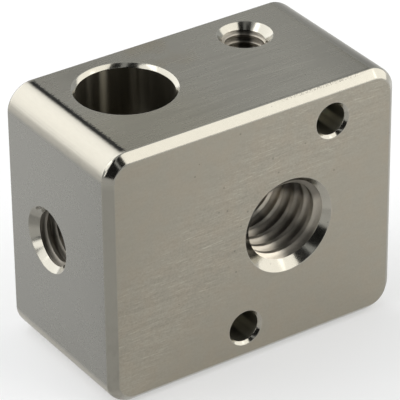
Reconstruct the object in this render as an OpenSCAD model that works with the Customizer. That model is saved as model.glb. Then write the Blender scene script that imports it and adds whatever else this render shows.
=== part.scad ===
// Heater block of a small hot end: one milled and plated metal block that carries
// a heater cartridge, a sensor screw and a nozzle.
// Units are millimetres. The block is drawn lying on its back, with its front
// face upward, and is stood up at the end: X is its length, the front face looks
// along -Y, and Z is up.

/* [Block] */

// Length of the block along X
block_length = 20.9; // [18:0.1:26]
// Height of the block as it stands
block_height = 17.2; // [16:0.1:22]
// Depth of the block from the front face to the back face
block_depth = 11.5; // [10.5:0.1:16]
// Radius of the four edges that run from front to back
edge_radius = 1.7; // [1:0.05:2.5]
// Leg of the 45 degree chamfer round the front and back faces
face_chamfer = 0.5; // [0.2:0.05:0.8]

/* [Heater bore] */

// Diameter of the plain bore for the heater cartridge
heater_bore_d = 6; // [4:0.05:6.5]
// Distance of the heater bore's axis from the left end
heater_from_left = 5.8; // [5:0.05:6.2]
// Distance of the heater bore's axis from the front face
heater_from_front = 6.9; // [5:0.05:7.2]
// Leg of the chamfer at both mouths of the heater bore
heater_chamfer = 0.24; // [0.1:0.02:0.4]

/* [Nozzle thread] */

// Outer diameter of the nozzle thread
nozzle_thread_d = 6; // [5:0.5:6]
// Pitch of the nozzle thread
nozzle_pitch = 1; // [0.5:0.05:1]
// Distance of the nozzle thread's axis from the right end
nozzle_from_right = 8; // [7.5:0.05:8.2]
// Height of the nozzle thread's axis above the bottom
nozzle_height = 8.6; // [8:0.05:9]
// Diameter of the countersunk mouths of the nozzle thread
nozzle_mouth_d = 6.35; // [6.1:0.05:7]

/* [Clamping screw thread] */

// Outer diameter of the thread for the screw that clamps the heater
clamp_thread_d = 4; // [3:0.5:4]
// Pitch of the clamping screw thread
clamp_pitch = 0.7; // [0.35:0.05:0.7]
// Height of the clamping screw's axis above the bottom
clamp_height = 8.6; // [6:0.05:11]
// Diameter of the countersunk mouth of the clamping screw thread
clamp_mouth_d = 4.3; // [4.1:0.05:4.8]

/* [Sensor screw thread] */

// Outer diameter of the thread for the sensor's holding screw
sensor_thread_d = 3; // [2:0.5:3]
// Pitch of the sensor screw thread
sensor_pitch = 0.5; // [0.35:0.05:0.5]
// Distance of the sensor screw's axis from the right end
sensor_from_right = 5.4; // [4.5:0.05:6]
// Distance of the sensor screw's axis from the front face
sensor_from_front = 8.4; // [8:0.05:8.6]
// Depth of the sensor screw hole at full width
sensor_depth = 4.5; // [3:0.1:5]
// Diameter of the countersunk mouth of the sensor screw hole
sensor_mouth_d = 3.5; // [3.1:0.05:3.8]

/* [Mounting holes] */

// Diameter of the two plain mounting holes
mounting_hole_d = 2; // [1.5:0.05:2.4]
// Diameter of the circle round the nozzle thread that the mounting holes lie on
mounting_circle_d = 14; // [13.5:0.1:14.4]
// Angle of the mounting holes on their circle, up from the block's length
mounting_angle = 63; // [58:1:68]
// Depth of the mounting holes at full width
mounting_depth = 5; // [3:0.1:5.4]
// Leg of the chamfer at the mouths of the mounting holes
mounting_chamfer = 0.2; // [0.05:0.05:0.3]

/* [Hidden] */

$fn = 96;

// Past a surface, a cutting tool goes on by this much
overrun = 1;
// Half the point angle of a twist drill
drill_half_angle = 59;

// Tapping drill of each thread
nozzle_core_d = nozzle_thread_d - nozzle_pitch;
clamp_core_d = clamp_thread_d - clamp_pitch;
sensor_core_d = sensor_thread_d - sensor_pitch;

// Places of the axes, from the left end and from the back face
nozzle_x = block_length - nozzle_from_right;
sensor_x = block_length - sensor_from_right;
heater_rise = block_depth - heater_from_front;
sensor_rise = block_depth - sensor_from_front;

metal = [0.62, 0.61, 0.58];

// Half section of a plate with both of its outer corners chamfered
module half_section(reach) {
    polygon([
        [0, 0],
        [reach - face_chamfer, 0],
        [reach, face_chamfer],
        [reach, block_depth - face_chamfer],
        [reach - face_chamfer, block_depth],
        [0, block_depth]
    ]);
}

// Both halves of that section, with its middle at the origin
module full_section(width) {
    half_section(width / 2);
    mirror([1, 0]) half_section(width / 2);
}

// The blank: two chamfered slabs crossed, and a turned quarter at each corner
module blank() {
    flat_length = block_length - 2 * edge_radius;
    flat_height = block_height - 2 * edge_radius;
    translate([block_length / 2, block_height - edge_radius, 0])
        rotate([90, 0, 0])
            linear_extrude(flat_height) full_section(block_length);
    translate([edge_radius, block_height / 2, 0])
        rotate([90, 0, 90])
            linear_extrude(flat_length) full_section(block_height);
    for (turn = [0 : 3]) {
        right = turn == 0 || turn == 3;
        upper = turn < 2;
        translate([
            right ? block_length - edge_radius : edge_radius,
            upper ? block_height - edge_radius : edge_radius,
            0
        ])
            rotate([0, 0, 90 * turn])
                rotate_extrude(angle = 90) half_section(edge_radius);
    }
}

// A countersink that opens along +Z, with its rim on the plane z = 0
module countersink(mouth_d, core_d) {
    leg = (mouth_d - core_d) / 2;
    translate([0, 0, -leg])
        cylinder(h = leg + overrun, r1 = core_d / 2, r2 = mouth_d / 2 + overrun);
}

// A drilled blind hole that opens along +Z, with a drill point and a countersink
module blind_hole(core_d, depth, mouth_d) {
    point = core_d / 2 / tan(drill_half_angle);
    translate([0, 0, -depth])
        cylinder(h = depth + overrun, d = core_d);
    translate([0, 0, -depth - point])
        cylinder(h = point, r1 = 0, r2 = core_d / 2);
    countersink(mouth_d, core_d);
}

// The plain bore for the heater, right through from bottom to top
module heater_bore() {
    mouth_d = heater_bore_d + 2 * heater_chamfer;
    translate([heater_from_left, 0, heater_rise])
        rotate([-90, 0, 0]) {
            translate([0, 0, -overrun])
                cylinder(h = block_height + 2 * overrun, d = heater_bore_d);
            translate([0, 0, block_height]) countersink(mouth_d, heater_bore_d);
            rotate([180, 0, 0]) countersink(mouth_d, heater_bore_d);
        }
}

// The nozzle thread's core, right through from back to front
module nozzle_hole() {
    translate([nozzle_x, nozzle_height, 0]) {
        translate([0, 0, -overrun])
            cylinder(h = block_depth + 2 * overrun, d = nozzle_core_d);
        translate([0, 0, block_depth]) countersink(nozzle_mouth_d, nozzle_core_d);
        rotate([180, 0, 0]) countersink(nozzle_mouth_d, nozzle_core_d);
    }
}

// The clamping screw's core, from the left end into the heater bore
module clamp_hole() {
    translate([0, clamp_height, heater_rise])
        rotate([0, -90, 0]) {
            translate([0, 0, -heater_from_left])
                cylinder(h = heater_from_left + overrun, d = clamp_core_d);
            countersink(clamp_mouth_d, clamp_core_d);
        }
}

// The sensor screw's hole, down from the top
module sensor_hole() {
    translate([sensor_x, block_height, sensor_rise])
        rotate([-90, 0, 0])
            blind_hole(sensor_core_d, sensor_depth, sensor_mouth_d);
}

// The two plain mounting holes, opposite each other round the nozzle thread
module mounting_holes() {
    mouth_d = mounting_hole_d + 2 * mounting_chamfer;
    for (side = [0, 180])
        translate([nozzle_x, nozzle_height, block_depth])
            rotate([0, 0, mounting_angle + side])
                translate([mounting_circle_d / 2, 0, 0])
                    blind_hole(mounting_hole_d, mounting_depth, mouth_d);
}

// The finished block, stood up with its bottom on z = 0 and centred over the origin
module heater_block() {
    color(metal)
        translate([-block_length / 2, block_depth / 2, 0])
            rotate([90, 0, 0])
                difference() {
                    blank();
                    heater_bore();
                    nozzle_hole();
                    clamp_hole();
                    sensor_hole();
                    mounting_holes();
                }
}

heater_block();
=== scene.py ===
# Heater block: the dressed model, its floor, lights and camera.
# Meshes are made in millimetres and scaled to metres at the end.
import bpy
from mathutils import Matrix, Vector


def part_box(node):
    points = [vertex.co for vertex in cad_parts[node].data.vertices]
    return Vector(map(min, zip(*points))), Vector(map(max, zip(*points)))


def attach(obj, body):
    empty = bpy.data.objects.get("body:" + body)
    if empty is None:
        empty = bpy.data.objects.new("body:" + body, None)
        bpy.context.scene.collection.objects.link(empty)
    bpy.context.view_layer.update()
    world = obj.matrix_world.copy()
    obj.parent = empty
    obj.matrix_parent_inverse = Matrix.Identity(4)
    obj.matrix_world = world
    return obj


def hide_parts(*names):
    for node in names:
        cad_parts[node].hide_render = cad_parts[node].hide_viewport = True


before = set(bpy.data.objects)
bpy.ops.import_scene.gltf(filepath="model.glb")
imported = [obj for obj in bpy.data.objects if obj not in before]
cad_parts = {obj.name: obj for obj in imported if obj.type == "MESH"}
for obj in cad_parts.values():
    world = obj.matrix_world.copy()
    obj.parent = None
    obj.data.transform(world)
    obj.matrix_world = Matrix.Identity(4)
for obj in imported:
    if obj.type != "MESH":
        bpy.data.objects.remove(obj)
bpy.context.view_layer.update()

import math

import bmesh
import bpy
from mathutils import Matrix, Vector

MM = 0.001

# Length, depth and height of the block in millimetres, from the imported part
lowest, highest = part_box("heater_block")
LENGTH, DEPTH, HEIGHT = (round((high - low) / MM, 3) for low, high in zip(lowest, highest))
LEFT = -LENGTH / 2
RIGHT = LENGTH / 2
FRONT = -DEPTH / 2
BACK = DEPTH / 2

# Edges and holes in millimetres, as in the part
EDGE_R = 1.7
CHAMFER = 0.5

HEATER_X = LEFT + 5.8
HEATER_Y = FRONT + 6.9
HEATER_R = 3.0
HEATER_MOUTH_R = 3.24

# Height of the nozzle thread's and the clamping screw's axes
MID_Z = 8.6

NOZZLE_X = RIGHT - 8.0
NOZZLE_R = 3.0
NOZZLE_PITCH = 1.0
NOZZLE_MOUTH_R = 3.175

CLAMP_R = 2.0
CLAMP_PITCH = 0.7
CLAMP_MOUTH_R = 2.15

SENSOR_X = RIGHT - 5.4
SENSOR_Y = FRONT + 8.4
SENSOR_R = 1.5
SENSOR_PITCH = 0.5
SENSOR_MOUTH_R = 1.75
SENSOR_DEPTH = 4.5
SENSOR_POINT = 0.75

MOUNT_HOLE_R = 1.0
MOUNT_MOUTH_R = 1.2
MOUNT_DEPTH = 5.0
MOUNT_POINT = 0.6
MOUNT_CIRCLE_R = 7.0
MOUNT_ANGLE = math.radians(63)
MOUNT_PLACES = [
    (
        NOZZLE_X + side * MOUNT_CIRCLE_R * math.cos(MOUNT_ANGLE),
        MID_Z + side * MOUNT_CIRCLE_R * math.sin(MOUNT_ANGLE),
    )
    for side in (1, -1)
]

# Under a mouth the drill stays a little inside the thread, which is cut after it
NOZZLE_DRILL_R = 2.45
CLAMP_DRILL_R = 1.62
SENSOR_DRILL_R = 1.24

# Soft corners that tumbling and plating leave on the machined edges
FACE_SOFT = 0.16
SIDE_SOFT = 0.1
# The same where the chamfer turns a corner of the block, which wears rounder
CORNER_SOFT = 0.55
MOUTH_SOFT = 0.07

# Cutter lines where the top runs into its two rounds: degrees into the round, and size
LINE_AT = 5.0
LINE_HALF = 3.4
LINE_DEPTH = 0.012
LINE_GAP = 0.4

ARC_STEPS = 28

# Finishes, in the order of the mesh's material slots
FACE, SIDE, ROUND, EDGE, BORE, THREAD, DRILLED = range(7)


def new_object(name, verts, faces, kinds):
    """A mesh object from plain lists, with its normals turned outward."""
    mesh = bpy.data.meshes.new(name)
    mesh.from_pydata(verts, [], faces)
    for _ in range(DRILLED + 1):
        mesh.materials.append(None)
    mesh.polygons.foreach_set("material_index", kinds)
    bm = bmesh.new()
    bm.from_mesh(mesh)
    bmesh.ops.recalc_face_normals(bm, faces=bm.faces)
    bm.to_mesh(mesh)
    bm.free()
    obj = bpy.data.objects.new(name, mesh)
    bpy.context.scene.collection.objects.link(obj)
    return obj


def arc(cx, cy, r, a0, a1, steps):
    """Points of an arc, angles in degrees."""
    out = []
    for i in range(steps + 1):
        a = math.radians(a0 + (a1 - a0) * i / steps)
        out.append((cx + r * math.cos(a), cy + r * math.sin(a)))
    return out


def rim_section(side_soft):
    """(inset, depth) pairs from a face, over its chamfer, to the side."""
    half = math.tan(math.radians(22.5))
    out = arc(CHAMFER + FACE_SOFT * half, FACE_SOFT, FACE_SOFT, 270, 225, 6)
    out += arc(side_soft, CHAMFER + side_soft * half, side_soft, 225, 180, 8)
    return out


def corner_arc(cx, cz, start, line_at, plain, worn, line_depth):
    """(x, depth, z) of a quarter round, with the cutter line pressed into it at one angle.
    The (inset, depth) goes from plain at both ends to worn in the middle."""
    angles = [start + 90 * i / ARC_STEPS for i in range(ARC_STEPS + 1)]
    if line_at is not None:
        angles = [a for a in angles if abs(a - line_at) > LINE_HALF * 1.1]
        angles += [line_at + LINE_HALF * k / 4 for k in range(-4, 5)]
        angles.sort()
    out = []
    for angle in angles:
        dip = 0.0
        if line_at is not None and abs(angle - line_at) < LINE_HALF:
            dip = line_depth * (0.5 + 0.5 * math.cos(math.pi * (angle - line_at) / LINE_HALF))
        wear = math.sin(math.radians(2 * (angle - start))) ** 2
        inset = plain[0] + (worn[0] - plain[0]) * wear
        depth = plain[1] + (worn[1] - plain[1]) * wear
        r = EDGE_R - inset - dip
        a = math.radians(angle)
        out.append((cx + r * math.cos(a), depth, cz + r * math.sin(a)))
    return out


def perimeter(plain, worn, line_depth):
    """One ring round the block, as (x, depth, z)."""
    corners = (
        (RIGHT - EDGE_R, HEIGHT - EDGE_R, 0, 90 - LINE_AT),
        (LEFT + EDGE_R, HEIGHT - EDGE_R, 90, 90 + LINE_AT),
        (LEFT + EDGE_R, EDGE_R, 180, None),
        (RIGHT - EDGE_R, EDGE_R, 270, None),
    )
    out = []
    for cx, cz, start, line_at in corners:
        out += corner_arc(cx, cz, start, line_at, plain, worn, line_depth)
    return out


def make_blank():
    """The block with its rounded edges and chamfered faces, and no holes."""
    section = [(a, b, 0.0) for a, b in zip(rim_section(SIDE_SOFT), rim_section(CORNER_SOFT))]
    rim_count = len(section)
    for gap, line in ((LINE_GAP, 0.0), (2 * LINE_GAP, LINE_DEPTH)):
        side = (0.0, CHAMFER + gap)
        section.append((side, side, line))
    rings = []
    for plain, worn, line in section:
        rings.append([(x, FRONT + depth, z) for x, depth, z in perimeter(plain, worn, line)])
    for plain, worn, line in reversed(section):
        rings.append([(x, BACK - depth, z) for x, depth, z in perimeter(plain, worn, line)])
    count = len(rings[0])
    verts = [p for ring in rings for p in ring]
    faces = []
    kinds = []
    for k in range(len(rings) - 1):
        for i in range(count):
            j = (i + 1) % count
            faces.append((k * count + i, k * count + j, (k + 1) * count + j, (k + 1) * count + i))
            if k < rim_count - 1 or k > len(rings) - 1 - rim_count:
                kinds.append(EDGE)
            else:
                flat = math.dist(rings[k][i], rings[k][j]) > EDGE_R
                kinds.append(SIDE if flat else ROUND)
    faces.append(tuple(range(count)))
    last = (len(rings) - 1) * count
    faces.append(tuple(range(last, last + count)))
    kinds += [FACE, FACE]
    return new_object("block_body", verts, faces, kinds)


def axis_matrix(point, axis):
    """Local +Z onto the axis, local origin onto the point."""
    turn = Vector(axis).to_track_quat("Z", "Y").to_matrix().to_4x4()
    return Matrix.Translation(Vector(point)) @ turn


def revolve(profile, steps, place):
    """A closed solid from (r, z, finish) points that start and end on the axis."""
    verts = []
    index = []
    for r, z, _ in profile:
        if r == 0.0:
            row = [len(verts)] * steps
            verts.append((0.0, 0.0, z))
        else:
            row = []
            for i in range(steps):
                a = 2 * math.pi * i / steps
                row.append(len(verts))
                verts.append((r * math.cos(a), r * math.sin(a), z))
        index.append(row)
    faces = []
    kinds = []
    for k in range(len(index) - 1):
        lower, upper = index[k], index[k + 1]
        for i in range(steps):
            j = (i + 1) % steps
            quad = []
            for v in (lower[i], lower[j], upper[j], upper[i]):
                if v not in quad:
                    quad.append(v)
            if len(quad) > 2:
                faces.append(tuple(quad))
                kinds.append(profile[k][2])
    obj = new_object("tool", verts, faces, kinds)
    obj.data.transform(place)
    return obj


def mouth_profile(mouth_r, core_r, above=1.0):
    """The countersunk mouth's outline from the core up through the surface z = 0.
    It crosses the surface at a slight slope, so the cut doesn't graze it."""
    slope = 8
    past = 0.3
    leg = mouth_r - core_r
    t = MOUTH_SOFT * math.tan(math.radians(22.5))
    out = arc(core_r + MOUTH_SOFT, -leg - t, MOUTH_SOFT, 180, 135, 3)
    out += arc(mouth_r + t, -MOUTH_SOFT, MOUTH_SOFT, 135, 90 + slope, 4)
    r, z = out[-1]
    out.append((r + past, z + past * math.tan(math.radians(slope))))
    out.append((r + past, above))
    out.append((0.0, above))
    return [(r, z, EDGE) for r, z in out]


def thread_profile(major_r, core_r, pitch):
    """Radius along one pitch of an internal thread, with slightly rounded corners."""
    depth = major_r - core_r
    flank = depth * math.tan(math.radians(30))
    root = pitch / 8
    crest = pitch - root - 2 * flank
    near, middle, far = 0.09, 0.5, 0.9
    points = [
        (0.0, 0.004),
        (crest * 0.5, 0.0),
        (crest * 0.96, 0.004),
        (crest + flank * 0.12, near),
        (crest + flank * 0.5, middle),
        (crest + flank * 0.88, far),
        (crest + flank + root * 0.2, 0.98),
        (crest + flank + root * 0.5, 1.0),
        (crest + flank + root * 0.8, 0.98),
        (crest + flank * 1.12 + root, far),
        (crest + flank * 1.5 + root, middle),
        (crest + flank * 1.88 + root, near),
    ]
    return [(along, core_r + share * depth) for along, share in points]


def thread_tool(major_r, pitch, low, high, steps, place, start):
    """A closed right-handed screw body, as the tap leaves it, from z = low to high.
    The core is drilled half a pitch inside the thread's outside."""
    prof = thread_profile(major_r, major_r - pitch / 2, pitch)
    k = len(prof)
    turns = int(math.ceil((high - low) / pitch)) + 1
    rows = turns * k
    verts = []
    for i in range(steps):
        a = 2 * math.pi * i / steps + start
        rise = pitch * i / steps
        for j in range(rows + 1):
            n, m = divmod(j, k)
            s, r = prof[m]
            verts.append((r * math.cos(a), r * math.sin(a), low + n * pitch + s + rise))
    # The seam's rows are the first column's, one turn up
    for j in range(k):
        n, m = divmod(rows + 1 + j, k)
        s, r = prof[m]
        verts.append((r * math.cos(start), r * math.sin(start), low + n * pitch + s))

    def vertex(i, j):
        """The number of the vertex in column i and row j, with the last column on the seam."""
        if i < steps:
            return i * (rows + 1) + j
        if j + k <= rows:
            return j + k
        return steps * (rows + 1) + (j + k - rows - 1)

    faces = []
    for i in range(steps):
        for j in range(rows):
            faces.append((vertex(i, j), vertex(i + 1, j), vertex(i + 1, j + 1), vertex(i, j + 1)))
    bottom = len(verts)
    verts.append((0.0, 0.0, low + 0.5 * pitch))
    loop = [vertex(i, 0) for i in range(steps)] + [vertex(0, j) for j in range(k, 0, -1)]
    for a in range(len(loop)):
        faces.append((loop[a], bottom, loop[(a + 1) % len(loop)]))
    top = len(verts)
    verts.append((0.0, 0.0, low + turns * pitch + 0.5 * pitch))
    loop = [vertex(i, rows) for i in range(steps)]
    loop += [vertex(steps, j) for j in range(rows, rows - k, -1)]
    for a in range(len(loop)):
        faces.append((loop[a], loop[(a + 1) % len(loop)], top))
    obj = new_object("tool", verts, faces, [THREAD] * len(faces))
    obj.data.transform(place)
    return obj


def cut(target, tool):
    """Take the tool's solid away from the target."""
    mod = target.modifiers.new("cut", "BOOLEAN")
    mod.operation = "DIFFERENCE"
    mod.solver = "MANIFOLD"
    mod.material_mode = "INDEX"
    mod.object = tool
    with bpy.context.temp_override(object=target, active_object=target):
        bpy.ops.object.modifier_apply(modifier=mod.name)
    bpy.data.objects.remove(tool, do_unlink=True)


def drill(block, place, core_r, mouth_r, depth, steps, point=0.0, kind=THREAD):
    """Cut a hole with its countersunk mouth above and, where it has one, its drill point below."""
    profile = [(0.0, -depth - point, kind), (core_r, -depth, kind)] + mouth_profile(mouth_r, core_r)
    cut(block, revolve(profile, steps, place))


def cut_holes(block):
    """Every hole of the block, with its countersunk mouths and its thread."""
    # Heater bore, from both ends to the middle
    for z, up in ((HEIGHT, 1), (0, -1)):
        place = axis_matrix((HEATER_X, HEATER_Y, z), (0, 0, up))
        drill(block, place, HEATER_R, HEATER_MOUTH_R, HEIGHT / 2, steps=160, kind=BORE)

    # Nozzle thread, right through, with a mouth in both faces
    for side in (-1, 1):
        place = axis_matrix((NOZZLE_X, side * DEPTH / 2, MID_Z), (0, side, 0))
        drill(block, place, NOZZLE_DRILL_R, NOZZLE_MOUTH_R, depth=2.0, steps=160)
    place = axis_matrix((NOZZLE_X, FRONT, MID_Z), (0, -1, 0))
    low = -DEPTH - 1.6
    cut(block, thread_tool(NOZZLE_R, NOZZLE_PITCH, low, high=0.6, steps=120, place=place, start=0.9))

    # Clamping screw thread, into the heater bore
    place = axis_matrix((LEFT, HEATER_Y, MID_Z), (-1, 0, 0))
    drill(block, place, CLAMP_DRILL_R, CLAMP_MOUTH_R, depth=2.0, steps=128)
    cut(block, thread_tool(CLAMP_R, CLAMP_PITCH, low=-5.0, high=0.3, steps=96, place=place, start=0.4))

    # Sensor screw thread, blind
    place = axis_matrix((SENSOR_X, SENSOR_Y, HEIGHT), (0, 0, 1))
    drill(block, place, SENSOR_DRILL_R, SENSOR_MOUTH_R, SENSOR_DEPTH, steps=96, point=SENSOR_POINT)
    cut(block, thread_tool(SENSOR_R, SENSOR_PITCH, low=-4.0, high=0.2, steps=80, place=place, start=2.0))

    # Mounting holes, plain and blind
    for x, z in MOUNT_PLACES:
        place = axis_matrix((x, FRONT, z), (0, -1, 0))
        drill(block, place, MOUNT_HOLE_R, MOUNT_MOUTH_R, MOUNT_DEPTH, 96, MOUNT_POINT, DRILLED)


class Finish:
    """One metal's node tree. Patterns are laid out in the block's own millimetres."""

    def __init__(self, name):
        self.material = bpy.data.materials.new(name)
        self.material.use_nodes = True
        self.tree = self.material.node_tree
        self.shader = self.tree.nodes["Principled BSDF"]
        self.shader.inputs["Metallic"].default_value = 1.0
        coords = self.add("ShaderNodeTexCoord").outputs["Object"]
        self.mm = self.vector("SCALE", coords, Scale=1 / MM)
        split = self.add("ShaderNodeSeparateXYZ")
        self.put(split.inputs[0], self.mm)
        self.x, self.y, self.z = split.outputs

    def add(self, kind, **settings):
        """A new node with its settings."""
        node = self.tree.nodes.new(kind)
        for key, value in settings.items():
            setattr(node, key, value)
        return node

    def put(self, socket, value):
        """Link a socket to another node's output, or set it to a plain value."""
        if isinstance(value, bpy.types.NodeSocket):
            self.tree.links.new(value, socket)
        else:
            socket.default_value = value

    def math(self, operation, *values):
        node = self.add("ShaderNodeMath", operation=operation)
        for socket, value in zip(node.inputs, values):
            self.put(socket, value)
        return node.outputs[0]

    def vector(self, operation, *values, **named):
        node = self.add("ShaderNodeVectorMath", operation=operation)
        for socket, value in zip(node.inputs, values):
            self.put(socket, value)
        for key, value in named.items():
            self.put(node.inputs[key], value)
        return node.outputs["Value" if operation == "DOT_PRODUCT" else "Vector"]

    def product(self, *values):
        """All the values multiplied."""
        out = values[0]
        for value in values[1:]:
            out = self.math("MULTIPLY", out, value)
        return out

    def total(self, *terms):
        """The sum of (value, weight) pairs."""
        out = 0.0
        for value, weight in terms:
            out = self.math("MULTIPLY_ADD", value, weight, out)
        return out

    def fade(self, value, low, high, start=0.0, end=1.0):
        """Goes softly from start to end while the value goes from low to high."""
        node = self.add("ShaderNodeMapRange", interpolation_type="SMOOTHSTEP")
        for socket, given in zip(node.inputs, (value, low, high, start, end)):
            self.put(socket, given)
        return node.outputs[0]

    def band(self, value, middle, half, soft):
        """1 near the middle, and 0 beyond the half width and its soft edge."""
        away = self.math("ABSOLUTE", self.math("SUBTRACT", value, middle))
        return self.fade(away, half, half + soft, 1.0, 0.0)

    def sector(self, angle, middle, half, soft):
        """A band of an angle, given in degrees."""
        return self.band(angle, math.radians(middle), math.radians(half), math.radians(soft))

    def offsets(self, a, b, point):
        """How far two coordinates are from a point of their plane."""
        return self.math("SUBTRACT", a, point[0]), self.math("SUBTRACT", b, point[1])

    def angle_round(self, a, b, point):
        """Angle round a point of a plane, from the first coordinate toward the second."""
        da, db = self.offsets(a, b, point)
        return self.math("ARCTAN2", db, da)

    def distance_to(self, a, b, point):
        """Distance from a point of a plane."""
        da, db = self.offsets(a, b, point)
        squares = self.math("ADD", self.math("MULTIPLY", da, da), self.math("MULTIPLY", db, db))
        return self.math("SQRT", squares)

    def space(self, scale, shift=(0, 0, 0), turn=(0, 0, 0)):
        """The block's millimetres stretched, for a pattern with its own grain."""
        node = self.add("ShaderNodeMapping")
        self.put(node.inputs["Vector"], self.mm)
        self.put(node.inputs["Scale"], scale)
        self.put(node.inputs["Location"], shift)
        self.put(node.inputs["Rotation"], turn)
        return node.outputs[0]

    def noise(self, scale, seed, detail=2.0, roughness=0.5, slant=0.0):
        """Soft noise round 0, about -1 to 1, with scale cells a millimetre along each axis.
        The slant turns it about Y, in degrees."""
        node = self.add("ShaderNodeTexNoise")
        shift = (seed, 2.7 * seed, 1.3 * seed)
        self.put(node.inputs["Vector"], self.space(scale, shift, (0, math.radians(slant), 0)))
        self.put(node.inputs["Scale"], 1.0)
        self.put(node.inputs["Detail"], detail)
        self.put(node.inputs["Roughness"], roughness)
        return self.math("MULTIPLY_ADD", node.outputs["Fac"], 4.0, -2.0)

    def specks(self, cells, size, share, seed):
        """Small round marks: 1 inside a mark. The share says how many cells hold one."""
        node = self.add("ShaderNodeTexVoronoi")
        self.put(node.inputs["Vector"], self.space((cells, cells, cells), (seed, 1.7 * seed, 0.6 * seed)))
        self.put(node.inputs["Scale"], 1.0)
        split = self.add("ShaderNodeSeparateXYZ")
        self.put(split.inputs[0], node.outputs["Color"])
        chosen = self.math("LESS_THAN", split.outputs[0], share)
        reach = self.math("MULTIPLY", split.outputs[1], size * cells)
        past = self.math("SUBTRACT", node.outputs["Distance"], reach)
        return self.product(chosen, self.fade(past, 0.0, 0.3 * size * cells, 1.0, 0.0))

    def scratch(self, a, b, start, end, width):
        """A straight mark between two points of a plane: 1 on the mark."""
        length = math.dist(start, end)
        ca, cb = (end[0] - start[0]) / length, (end[1] - start[1]) / length
        da, db = self.offsets(a, b, start)
        along = self.math("ADD", self.math("MULTIPLY", da, ca), self.math("MULTIPLY", db, cb))
        across = self.math("SUBTRACT", self.math("MULTIPLY", da, cb), self.math("MULTIPLY", db, ca))
        middle = self.band(along, length / 2, length * 0.35, length * 0.15)
        return self.product(middle, self.band(across, 0.0, width * 0.3, width * 0.7))

    def cutter_line(self):
        """Distance outward from the middle of the two cutter lines beside the top."""
        middle = RIGHT - EDGE_R + EDGE_R * math.sin(math.radians(LINE_AT))
        return self.math("SUBTRACT", self.math("ABSOLUTE", self.x), middle)

    def line_ends(self):
        """The cutter lines fade out just before the two chamfers."""
        return self.fade(self.math("ABSOLUTE", self.y), BACK - CHAMFER - 0.35, BACK - CHAMFER, 1.0, 0.2)

    def sensor_back_shade(self, half, soft):
        """Where painted shade lies at the back of the sensor screw's hole and mouth, half and soft in
        degrees round its axis.
        """
        angle = self.angle_round(self.x, self.y, (SENSOR_X, SENSOR_Y))
        reach = SENSOR_MOUTH_R + 0.15
        return self.product(
            self.sector(angle, 56, half, soft),
            self.band(self.x, SENSOR_X, reach, 0.1),
            self.band(self.y, SENSOR_Y, reach, 0.1),
            self.fade(self.z, HEIGHT - 5.2, HEIGHT - 5.0),
        )

    def blend(self, color, other, factor):
        """One colour going over to another where the factor goes to 1."""
        mix = self.add("ShaderNodeMix", data_type="VECTOR", clamp_factor=True)
        self.put(mix.inputs["Factor"], factor)
        self.put(mix.inputs[4], color)
        self.put(mix.inputs[5], other)
        return mix.outputs[1]

    def paint(self, color, tone):
        """Base colour: the metal's colour times 1 + tone."""
        level = self.math("MAXIMUM", self.math("ADD", tone, 1.0), 0.03)
        self.put(self.shader.inputs["Base Color"], self.vector("SCALE", color, Scale=level))

    def gloss(self, rough, change):
        """Roughness, with its small changes over the surface."""
        self.put(self.shader.inputs["Roughness"], self.math("ADD", change, rough))

    def relief(self, height, depth):
        """Fine relief, its depth in millimetres."""
        bump = self.add("ShaderNodeBump")
        self.put(bump.inputs["Height"], height)
        self.put(bump.inputs["Distance"], depth * MM)
        self.put(self.shader.inputs["Normal"], bump.outputs[0])


# Colours of the metal, by finish
FACE_COLOR = (0.341, 0.317, 0.262)
FACE_WARM = (0.341, 0.309, 0.251)
SIDE_COLOR = (0.27, 0.264, 0.239)
TOP_COLOR = (0.304, 0.287, 0.243)
TOP_WARM = (0.296, 0.276, 0.221)
TOP_BROWN = (0.29, 0.262, 0.205)
ROUND_COLOR = (0.405, 0.383, 0.33)
EDGE_COLOR = (0.372, 0.355, 0.307)
BORE_COLOR = (0.27, 0.25, 0.2)
THREAD_COLOR = (0.5, 0.462, 0.395)
DRILLED_COLOR = (0.36, 0.345, 0.285)

SIDE_ROUGH = 0.27
ROUND_ROUGH = 0.37

# Single scratches of the front face: (x, z) of both ends, and width
FACE_MARKS = (
    ((-1.25, 12.86), (-0.2, 12.98), 0.07),
    ((0.65, 12.96), (1.9, 13.42), 0.04),
    ((0.05, 14.3), (1.55, 14.34), 0.04),
    ((-4.0, 9.16), (-2.25, 9.26), 0.05),
    ((-1.1, 10.18), (-0.35, 10.26), 0.04),
    ((-5.35, 10.18), (-3.6, 10.3), 0.04),
    ((-6.45, 7.31), (-4.85, 7.36), 0.04),
)

# Its single dark dots: (x, z)
FACE_DOTS = (
    (-2.64, 11.24),
    (-2.03, 11.16),
    (-1.52, 8.18),
    (-2.27, 12.84),
    (-4.32, 14.28),
    (5.79, 11.36),
    (-1.06, 9.75),
    (-0.57, 10.62),
    (1.68, 12.57),
    (-1.43, 6.66),
    (3.63, 13.93),
    (1.26, 13.66),
    (-1.08, 16.11),
)


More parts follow.
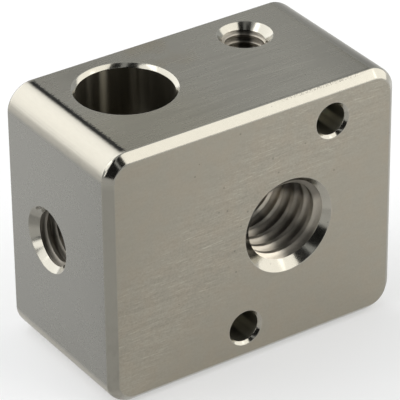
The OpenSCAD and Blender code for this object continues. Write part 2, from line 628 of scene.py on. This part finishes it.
def face_finish():
    """Front and back: ground along the length, with fine scratches in a slanting belt."""
    f = Finish("metal_face")
    across_belt = f.vector("DOT_PRODUCT", f.mm, (-0.6, 0.0, 0.8))
    belt = f.band(across_belt, 9.1, 1.6, 3.4)
    wide = f.noise((0.12, 0.12, 2.2), 3.1)
    fine = f.noise((0.4, 0.4, 7.0), 7.7, 2.0, 0.6, slant=3)
    hair = f.noise((1.5, 1.5, 12.0), 5.2, 1.0, slant=5)
    grain = f.noise((7.0, 7.0, 7.0), 6.3, 2.0, 0.7)
    light = f.fade(f.noise((1.0, 1.0, 16.0), 9.4, 1.0, slant=4), 0.45, 1.0)
    light_turned = f.fade(f.noise((1.1, 1.1, 15.0), 5.7, 1.0, slant=9), 0.5, 1.05)
    cloud = f.noise((0.85, 0.85, 0.85), 2.2, 3.0, 0.55)
    specks = f.specks(1.3, 0.05, 0.14, 4.3)
    belt_fine = f.product(f.math("ADD", fine, grain), belt)
    belt_light = f.product(f.math("MAXIMUM", light, light_turned), belt)
    marks = [(f.scratch(f.x, f.z, *mark), 0.2) for mark in FACE_MARKS]
    dots = [(f.fade(f.distance_to(f.x, f.z, dot), 0.03, 0.09, 1.0, 0.0), -0.32) for dot in FACE_DOTS]
    tone = f.total(
        (wide, 0.01),
        (fine, 0.01),
        (hair, 0.015),
        (grain, 0.04),
        (belt_fine, 0.07),
        (belt_light, 0.24),
        (cloud, 0.03),
        (specks, -0.3),
        *marks,
        *dots,
    )
    f.paint(f.blend(FACE_COLOR, FACE_WARM, f.fade(cloud, -0.5, 0.7)), tone)
    f.gloss(0.38, f.total((fine, 0.02), (cloud, 0.015), (belt, -0.02)))
    f.relief(f.total((fine, 0.4), (hair, 0.3), (grain, 0.3)), 0.0007)
    return f.material


def side_finish():
    """Top, bottom and ends: plated, with faint streaks along the length, specks and a rub."""
    f = Finish("metal_side")
    streak = f.noise((0.25, 5.0, 5.0), 1.9, 2.0, 0.6)
    grain = f.noise((7.0, 7.0, 7.0), 6.1, 1.0)
    cloud = f.noise((0.5, 0.5, 0.5), 8.8)
    specks = f.specks(2.2, 0.05, 0.3, 2.9)
    top = f.fade(f.z, HEIGHT - 0.3, HEIGHT - 0.1)
    # The streaks and specks gather on the top between the heater bore and the front edge
    middle = f.product(f.band(f.x, 0.5, 2.5, 4.0), f.band(f.y, -1.8, 1.5, 3.5))
    worn = f.product(top, f.math("MULTIPLY_ADD", middle, 0.8, 0.2))
    rub = f.product(top, f.scratch(f.x, f.y, (3.1, -2.15), (7.1, -2.45), 0.07))
    # Painted dark reflection: the top darkens toward its left cutter line, with a ragged edge
    ragged = f.noise((8.0, 8.0, 8.0), 7.4, 2.0, 0.7)
    painted_line_shade = f.product(
        f.fade(f.math("MULTIPLY_ADD", ragged, 0.16, f.cutter_line()), -0.32, -0.15),
        top,
        f.fade(f.x, -1.0, 1.0, 1.0, 0.0),
        f.line_ends(),
    )
    # Toward its right cutter line it darkens and browns only a little
    right_line = f.product(
        f.fade(f.cutter_line(), -0.6, 0.0),
        f.fade(f.x, 0.0, 2.0),
        top,
        f.fade(f.y, -5.0, 1.0, 1.0, 0.35),
    )
    # Left of the heater bore the top is paler, and it darkens at the right
    pale = f.product(top, f.fade(f.x, -5.5, -8.0), f.fade(f.y, -4.5, -1.5))
    right = f.product(top, f.fade(f.x, 5.0, 8.9), f.fade(f.y, 2.0, -4.5, 0.4, 1.0))
    # A thin dark burr line runs along the front chamfer
    burr = f.product(
        top,
        f.band(f.y, FRONT + CHAMFER + 0.1, 0.04, 0.07),
        f.fade(f.x, -3.0, 1.0),
        f.fade(f.noise((5.0, 5.0, 5.0), 3.6), -0.9, 0.6, 0.2, 1.0),
    )
    tone = f.total(
        (f.product(streak, worn), 0.09),
        (f.product(specks, worn), -0.55),
        (rub, 0.14),
        (streak, 0.012),
        (grain, 0.004),
        (cloud, 0.012),
        (specks, -0.1),
        (painted_line_shade, -0.95),
        (pale, 0.16),
        (right, -0.2),
        (right_line, -0.12),
        (burr, -0.3),
    )
    # It is warmer in front on the left, and brown in a patch behind the middle
    front_left = f.product(top, f.fade(f.x, 1.0, -4.0), f.fade(f.y, 1.0, -2.5))
    brown = f.product(top, f.band(f.x, -0.8, 0.8, 1.6), f.band(f.y, 3.6, 1.2, 1.8))
    color = f.blend(SIDE_COLOR, TOP_COLOR, top)
    color = f.blend(color, TOP_WARM, front_left)
    color = f.blend(color, TOP_BROWN, f.product(brown, f.fade(cloud, -0.5, 0.6)))
    color = f.blend(color, TOP_WARM, right_line)
    f.paint(color, tone)
    f.gloss(SIDE_ROUGH, f.total((streak, 0.01), (cloud, 0.01)))
    f.relief(streak, 0.00003)
    return f.material


def round_finish():
    """The four rounds: fine streaks along the depth, and a painted dark reflection as a line at the top's
    left edge.
    """
    f = Finish("metal_round")
    streak = f.noise((7.0, 0.12, 7.0), 4.4, 2.0, 0.6)
    grain = f.noise((6.0, 2.0, 6.0), 2.5, 1.0)
    ragged = f.noise((3.0, 5.0, 3.0), 6.6, 2.0, 0.7)
    # The painted dark reflection lies on the left cutter line and is ragged
    wander = f.math("MULTIPLY_ADD", ragged, 0.03, f.cutter_line())
    line = f.product(
        f.fade(wander, -0.5, -0.15),
        f.fade(wander, -0.02, 0.24, 1.0, 0.0),
        f.fade(f.z, HEIGHT - 0.5, HEIGHT - 0.2),
        f.fade(f.x, -1.0, 1.0, 1.0, 0.0),
        f.line_ends(),
    )
    # The upper right round is darker, most of all where the top runs into it
    darker = f.product(f.fade(f.x, -1.0, 1.0), f.fade(f.z, MID_Z - 1.0, MID_Z + 1.0))
    start = f.product(
        f.fade(f.cutter_line(), 0.15, 0.75, 1.0, 0.3),
        darker,
        f.fade(f.z, 15.0, 16.5),
        f.fade(f.y, -5.0, 1.0, 1.0, 0.75),
    )
    # Each round takes on the sides' finish where it meets the ends, with a mottled foot
    level = f.math("SUBTRACT", f.math("ABSOLUTE", f.math("SUBTRACT", f.z, MID_Z)), MID_Z - EDGE_R)
    plain = f.fade(level, 0.0, 0.4, 1.0, 0.0)
    blotch = f.fade(f.noise((3.0, 1.2, 3.0), 8.1), -0.2, 0.9)
    foot = f.product(f.band(level, 0.1, 0.2, 0.4), f.fade(level, 0.0, 0.2), blotch)
    tone = f.total(
        (streak, 0.025),
        (grain, 0.015),
        (line, -0.96),
        (foot, -0.07),
        (darker, -0.17),
        (start, -0.3),
    )
    f.paint(f.blend(ROUND_COLOR, SIDE_COLOR, plain), tone)
    f.gloss(ROUND_ROUGH, f.total((streak, 0.02), (line, 0.2), (plain, SIDE_ROUGH - ROUND_ROUGH)))
    f.relief(f.product(f.total((streak, 0.8), (grain, 0.2)), f.fade(level, 0.0, 0.5)), 0.003)
    return f.material


def edge_finish():
    """Chamfers and countersinks: cut bright, finely mottled and pitted."""
    f = Finish("metal_edge")
    grain = f.noise((5.0, 5.0, 5.0), 3.7)
    mottle = f.noise((1.6, 1.6, 1.1), 5.9, 2.0, 0.6)
    pits = f.specks(2.0, 0.06, 0.2, 7.3)
    # The upright chamfers are rougher than the rest and darker with painted shade, and mottled with a
    # stain that is partly painted shade, strongest toward the bottom
    dull = f.product(
        f.fade(f.math("ABSOLUTE", f.x), RIGHT - 1.0, RIGHT - 0.7),
        f.fade(f.math("ABSOLUTE", f.y), BACK - 0.95, BACK - 0.8),
        f.fade(f.z, HEIGHT - EDGE_R - 0.4, HEIGHT - EDGE_R + 0.6, 1.0, 0.0),
    )
    stain_and_shade = f.product(dull, f.fade(f.z, 2.0, 9.0, 1.0, 0.25), f.fade(mottle, -0.5, 0.9))
    # Painted shade: the clamping screw's mouth is darker in its upper half
    screw_mouth_shade = f.product(
        f.band(f.y, HEATER_Y, 2.3, 0.3),
        f.fade(f.x, LEFT + 0.6, LEFT + 0.8, 1.0, 0.0),
        f.fade(f.z, MID_Z - 0.3, MID_Z + 0.2),
        f.fade(f.z, MID_Z + 2.4, MID_Z + 2.7, 1.0, 0.0),
    )
    # The front chamfer's upper edge is finely speckled on the right
    speckle = f.product(
        f.band(f.y, FRONT + CHAMFER - 0.05, 0.04, 0.07),
        f.fade(f.z, HEIGHT - 0.4, HEIGHT - 0.3),
        f.band(f.x, 5.2, 1.8, 2.0),
        f.fade(f.noise((14.0, 14.0, 14.0), 2.6, 1.0), -0.2, 0.6),
    )
    # Painted shade: the nozzle thread's mouths are dark at the top, and the sensor screw's at the back
    nozzle_top_shade = f.product(f.band(f.x, NOZZLE_X, 1.9, 0.7), f.band(f.z, MID_Z + 2.8, 0.55, 0.4))
    sensor_mouth = f.sensor_back_shade(9, 8)
    tone = f.total(
        (grain, 0.01),
        (mottle, 0.02),
        (pits, -0.2),
        (dull, -0.09),
        (stain_and_shade, -0.1),
        (sensor_mouth, -0.45),
        (screw_mouth_shade, -0.28),
        (speckle, -0.4),
        (nozzle_top_shade, -0.45),
    )
    f.paint(EDGE_COLOR, tone)
    f.gloss(0.15, f.total((mottle, 0.02), (pits, 0.1), (dull, 0.32)))
    f.relief(f.total((grain, 0.5), (mottle, 0.5)), 0.0006)
    return f.material


def bore_finish():
    """The heater bore: reamed, with a few rougher streaks down its wall that are painted paler as
    highlights.
    """
    f = Finish("metal_bore")
    angle = f.angle_round(f.x, f.y, (HEATER_X, HEATER_Y))
    # Where each streak lies round the bore, its half width and its strength
    streaks = ((84.0, 8.5, 1.0), (104.5, 8.0, 0.25), (48.5, 7.0, 0.25), (39.0, 6.0, 0.15))
    dull = f.total(*[(f.sector(angle, middle, 0.0, half), strength) for middle, half, strength in streaks])
    lines = f.noise((6.0, 6.0, 0.2), 4.8)
    # The streaks are rougher, and painted paler as highlights
    f.paint(BORE_COLOR, f.total((lines, 0.05), (dull, 0.7)))
    f.gloss(0.35, f.total((lines, 0.03), (dull, 0.45)))
    f.relief(lines, 0.001)
    return f.material


def thread_finish():
    """Tapped threads: rougher than the rest, with painted shade and painted highlights, and fine tap
    marks.
    """
    f = Finish("metal_thread")
    grain = f.noise((5.0, 5.0, 5.0), 1.4)
    cloud = f.noise((1.1, 1.1, 1.1), 6.4)
    # The nozzle thread has painted shade on its lower right and a painted highlight on its lower left
    nozzle_axis = (NOZZLE_X, MID_Z)
    angle = f.angle_round(f.x, f.z, nozzle_axis)
    depth = f.math("SUBTRACT", f.y, FRONT)
    lower = f.sector(angle, -59, 15, 16)
    lower_left_highlight = f.sector(angle, -118, 26, 18)
    # The painted shade over its upper side starts at a lower angle deeper in
    level = f.math("MULTIPLY_ADD", depth, math.radians(8), angle)
    above = f.product(
        f.fade(level, math.radians(14), math.radians(30)),
        f.fade(depth, 1.8, 2.6, 0.5, 0.75),
    )
    # Painted highlight: deep in the hole its right side is brighter, below the middle
    deep = f.product(
        f.fade(depth, 3.6, 4.8),
        f.fade(depth, 7.0, 9.0, 1.0, 0.0),
        f.sector(angle, -32, 18, 10),
    )
    nozzle = f.fade(f.distance_to(f.x, f.z, nozzle_axis), NOZZLE_R + 0.2, NOZZLE_R + 0.4, 1.0, 0.0)
    nozzle_painted_light = f.product(
        f.total((lower, -0.5), (above, -1.0), (lower_left_highlight, 0.6), (deep, 0.7)),
        nozzle,
    )
    # Painted shade: the clamping screw's thread is darker, and the sensor screw's is nearly black at the
    # back
    clamp = f.fade(f.x, LEFT + 3.2, LEFT + 3.4, 1.0, 0.0)
    black = f.sensor_back_shade(10, 15)
    tone = f.total(
        (grain, 0.04),
        (cloud, 0.05),
        (nozzle_painted_light, 1.0),
        (clamp, -0.4),
        (black, -0.86),
    )
    f.paint(THREAD_COLOR, tone)
    f.gloss(0.54, f.total((grain, 0.03), (cloud, 0.03)))
    f.relief(grain, 0.002)
    return f.material


def drilled_finish():
    """The plain mounting holes: drilled, with painted highlights along the wall."""
    f = Finish("metal_drilled")
    grain = f.noise((6.0, 6.0, 6.0), 8.2, 1.0)
    # One hole lies above the middle and one below, so the height tells which axis counts
    upper_place, lower_place = MOUNT_PLACES
    middle = (MID_Z - 0.5, MID_Z + 0.5)
    axis = [f.fade(f.z, *middle, low, high) for low, high in zip(lower_place, upper_place)]
    angle = f.angle_round(f.x, f.z, axis)
    # Painted highlights at two angles round each hole's axis, stronger deeper in
    painted_highlights = f.product(
        f.total((f.sector(angle, -31, 6, 13), 1.0), (f.sector(angle, -58, 6, 13), 0.9)),
        f.math("MULTIPLY_ADD", f.fade(f.z, *middle), 0.3, 0.7),
        f.fade(f.y, FRONT + 0.2, FRONT + 2.2, 0.4, 1.5),
    )
    f.paint(DRILLED_COLOR, f.total((painted_highlights, 1.4), (grain, 0.03)))
    f.gloss(0.4, f.total((painted_highlights, 0.2), (grain, 0.02)))
    f.relief(grain, 0.001)
    return f.material


def dress(block):
    """Scale the block to metres, smooth its shading and give every face its finish."""
    mesh = block.data
    mesh.transform(Matrix.Scale(MM, 4))
    mesh.polygons.foreach_set("use_smooth", [True] * len(mesh.polygons))
    mesh.set_sharp_from_angle(angle=math.radians(35))
    normals = block.modifiers.new("normals", "WEIGHTED_NORMAL")
    normals.mode = "FACE_AREA"
    normals.weight = 90
    normals.keep_sharp = True
    with bpy.context.temp_override(object=block, active_object=block):
        bpy.ops.object.modifier_apply(modifier=normals.name)
    makers = (
        face_finish,
        side_finish,
        round_finish,
        edge_finish,
        bore_finish,
        thread_finish,
        drilled_finish,
    )
    kinds = [poly.material_index for poly in mesh.polygons]
    mesh.materials.clear()
    for make in makers:
        mesh.materials.append(make())
    mesh.polygons.foreach_set("material_index", kinds)


block = make_blank()
cut_holes(block)
dress(block)

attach(block, "root")
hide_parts("heater_block")


# Lamps and cards are placed round the middle of the block, in metres
MIDDLE = Vector((0, 0, HEIGHT / 2 * MM))
WHITE = (1, 1, 1)
WARM = (1, 0.98, 0.94)


def plain_material(name, value):
    """A dull grey for the floor and the cards."""
    material = bpy.data.materials.new(name)
    material.use_nodes = True
    shader = material.node_tree.nodes["Principled BSDF"]
    shader.inputs["Base Color"].default_value = (value, value, value, 1)
    shader.inputs["Roughness"].default_value = 1.0
    shader.inputs["Specular IOR Level"].default_value = 0.0
    return material


def make_floor(half_width, value, glow):
    """A pale floor. Seen or reflected, a share of it is plain white, so it stays pale."""
    floor_mesh = bpy.data.meshes.new("floor")
    s = half_width
    floor_mesh.from_pydata([(-s, -s, 0), (s, -s, 0), (s, s, 0), (-s, s, 0)], [], [(0, 1, 2, 3)])
    floor = bpy.data.objects.new("floor", floor_mesh)
    bpy.context.scene.collection.objects.link(floor)
    material = plain_material("floor", value)
    tree = material.node_tree
    path = tree.nodes.new("ShaderNodeLightPath")
    seen = path.outputs["Is Camera Ray"]
    for name in ("Is Glossy Ray", "Is Transmission Ray"):
        either = tree.nodes.new("ShaderNodeMath")
        either.operation = "MAXIMUM"
        tree.links.new(seen, either.inputs[0])
        tree.links.new(path.outputs[name], either.inputs[1])
        seen = either.outputs[0]
    share = tree.nodes.new("ShaderNodeMath")
    share.operation = "MULTIPLY"
    share.inputs[1].default_value = glow
    tree.links.new(seen, share.inputs[0])
    white = tree.nodes.new("ShaderNodeEmission")
    white.inputs["Strength"].default_value = 1.0
    mix = tree.nodes.new("ShaderNodeMixShader")
    tree.links.new(share.outputs[0], mix.inputs[0])
    tree.links.new(tree.nodes["Principled BSDF"].outputs[0], mix.inputs[1])
    tree.links.new(white.outputs[0], mix.inputs[2])
    tree.links.new(mix.outputs[0], tree.nodes["Material Output"].inputs["Surface"])
    floor_mesh.materials.append(material)


def make_world(low, high, toward):
    """A pale sky that is brighter toward one side."""
    world = bpy.data.worlds.new("world")
    bpy.context.scene.world = world
    world.use_nodes = True
    tree = world.node_tree
    coords = tree.nodes.new("ShaderNodeTexCoord")
    dot = tree.nodes.new("ShaderNodeVectorMath")
    dot.operation = "DOT_PRODUCT"
    dot.inputs[1].default_value = Vector(toward).normalized()
    tree.links.new(coords.outputs["Generated"], dot.inputs[0])
    fade = tree.nodes.new("ShaderNodeMapRange")
    fade.interpolation_type = "SMOOTHSTEP"
    for socket, value in zip(list(fade.inputs)[1:5], (0.4, 1.0, low, high)):
        socket.default_value = value
    tree.links.new(dot.outputs["Value"], fade.inputs[0])
    background = tree.nodes["Background"]
    background.inputs["Color"].default_value = (0.97, 1, 1.02, 1)
    tree.links.new(fade.outputs[0], background.inputs["Strength"])


def softbox(name, toward, distance, span_u, span_v, radiance, color=WHITE, turn=0):
    """A flat lamp square to a direction from the block. Spans are in distances, turn in degrees."""
    c = Vector(toward).normalized()
    right = c.cross(Vector((0, 0, 1))).normalized()
    up = right.cross(c)
    a = math.radians(turn)
    u = right * math.cos(a) + up * math.sin(a)
    v = up * math.cos(a) - right * math.sin(a)
    light = bpy.data.lights.new(name, "AREA")
    light.shape = "RECTANGLE"
    light.size = (span_u[1] - span_u[0]) * distance
    light.size_y = (span_v[1] - span_v[0]) * distance
    light.energy = radiance * math.pi * light.size * light.size_y
    light.color = color
    obj = bpy.data.objects.new(name, light)
    mid = c + u * (span_u[0] + span_u[1]) / 2 + v * (span_v[0] + span_v[1]) / 2
    place = Matrix((-u, v, v.cross(u))).transposed().to_4x4()
    place.translation = mid * distance + MIDDLE
    obj.matrix_world = place
    obj.visible_camera = False
    bpy.context.scene.collection.objects.link(obj)


def card_object(name, points, faces, value):
    """A grey card that the camera doesn't see, so it shows in reflections only."""
    card = bpy.data.meshes.new(name)
    card.from_pydata(points, [], faces)
    card.materials.append(plain_material(name, value))
    obj = bpy.data.objects.new(name, card)
    bpy.context.scene.collection.objects.link(obj)
    obj.visible_camera = False
    return obj


def flag(name, elevations, lower, upper, distance=0.6, value=0.015, steps=6):
    """A dark card bent round the block. Angles in degrees, lower and upper are the azimuths
    that its two level edges span."""
    points = []
    for i in range(steps + 1):
        t = i / steps
        el = math.radians(elevations[0] + (elevations[1] - elevations[0]) * t)
        first = lower[0] + (upper[0] - lower[0]) * t
        last = lower[1] + (upper[1] - lower[1]) * t
        for j in range(steps + 1):
            az = math.radians(first + (last - first) * j / steps)
            out = Vector((math.cos(az) * math.cos(el), math.sin(az) * math.cos(el), math.sin(el)))
            points.append(out * distance + MIDDLE)
    faces = []
    for i in range(steps):
        for j in range(steps):
            k = i * (steps + 1) + j
            faces.append((k, k + 1, k + steps + 2, k + steps + 1))
    card_object(name, points, faces, value)


def floor_card(name, corner, first, last, reach, value, rise=0.1, gap=0.3, steps=12):
    """A grey card just above the floor, a sector round a corner of the block, which throws no
    shadow. Lengths are in millimetres, its azimuths in degrees."""
    points = []
    for r in (gap, reach):
        for x, y in arc(corner[0], corner[1], r, first, last, steps):
            points.append((x * MM, y * MM, rise * MM))
    count = steps + 1
    faces = [(k, k + 1, k + 1 + count, k + count) for k in range(steps)]
    card = card_object(name, points, faces, value)
    card.visible_diffuse = False
    card.visible_shadow = False


make_floor(half_width=3.0, value=0.86, glow=0.4)
make_world(low=0.54, high=0.78, toward=(0.475, 0.713, 0.515))
softbox("softbox_back", (-0.42, 0.62, 0.66), 0.8, (-0.55, 0.88), (-0.92, 0.48), 1.7)
softbox("softbox_right", (0.72, -0.38, 0.58), 0.8, (-1.0, 0.85), (-0.6, 0.27), 1.75, WARM, turn=45)
softbox("softbox_low", (0.5985, -0.7943, 0.1045), 0.8, (-0.2, 0.2), (-0.11, 0.1), 1.6, WARM)
softbox("softbox_side", (-0.764, 0.053, 0.643), 0.8, (-0.3, 0.28), (-0.27, 0.33), 1.6)
softbox("softbox_left", (-0.9, -0.33, 0.26), 0.7, (-0.15, 0.15), (-0.15, 0.15), 1.8)
softbox("softbox_spot", (0.612, -0.478, 0.629), 0.79, (-0.09, 0.09), (-0.06, 0.06), 1.2, (1, 0.99, 0.97))
flag("flag_left", elevations=(-0.5, 40), lower=(206, 245), upper=(204, 243.5))
flag("flag_left_top", elevations=(40, 66), lower=(204, 243.5), upper=(193, 224))
flag("flag_front", elevations=(36, 68), lower=(253, 288), upper=(246, 276), value=0.02)
flag("flag_low", elevations=(0, 22), lower=(250, 268), upper=(250, 268))
# This grey card stands in for a shaded patch of floor, and shows only in reflections
floor_card("card_left", (LEFT - 0.1, FRONT - 0.1), first=123, last=303, reach=1500, value=0.62)
flag("flag_line", elevations=(26, 42), lower=(60, 73), upper=(60, 73), distance=0.75)


# Camera at the photograph's angle: degrees to the left of the front, above level and of roll,
# then its distance from the point that it looks at, and that point, in millimetres
CAMERA_LEFT = 33.6927
CAMERA_ABOVE = 31.0302
CAMERA_ROLL = -0.5845
CAMERA_DISTANCE = 191.2097
CAMERA_TARGET = (-0.1581, -0.0071, 8.4444)


def make_camera():
    """The camera, with the long lens that the photograph's perspective asks for."""
    turn = Matrix.Rotation(math.radians(-CAMERA_LEFT), 4, "Z")
    turn = turn @ Matrix.Rotation(math.radians(90 - CAMERA_ABOVE), 4, "X")
    turn = turn @ Matrix.Rotation(math.radians(CAMERA_ROLL), 4, "Z")
    place = Vector(CAMERA_TARGET) + turn.to_3x3() @ Vector((0, 0, CAMERA_DISTANCE))
    data = bpy.data.cameras.new("camera")
    data.sensor_width = 36.0
    data.lens = 280.12
    data.clip_start = 0.01
    camera = bpy.data.objects.new("camera", data)
    camera.matrix_world = Matrix.Translation(place * MM) @ turn
    bpy.context.scene.collection.objects.link(camera)
    bpy.context.scene.camera = camera


make_camera()
bpy.context.scene.view_settings.view_transform = "Standard"
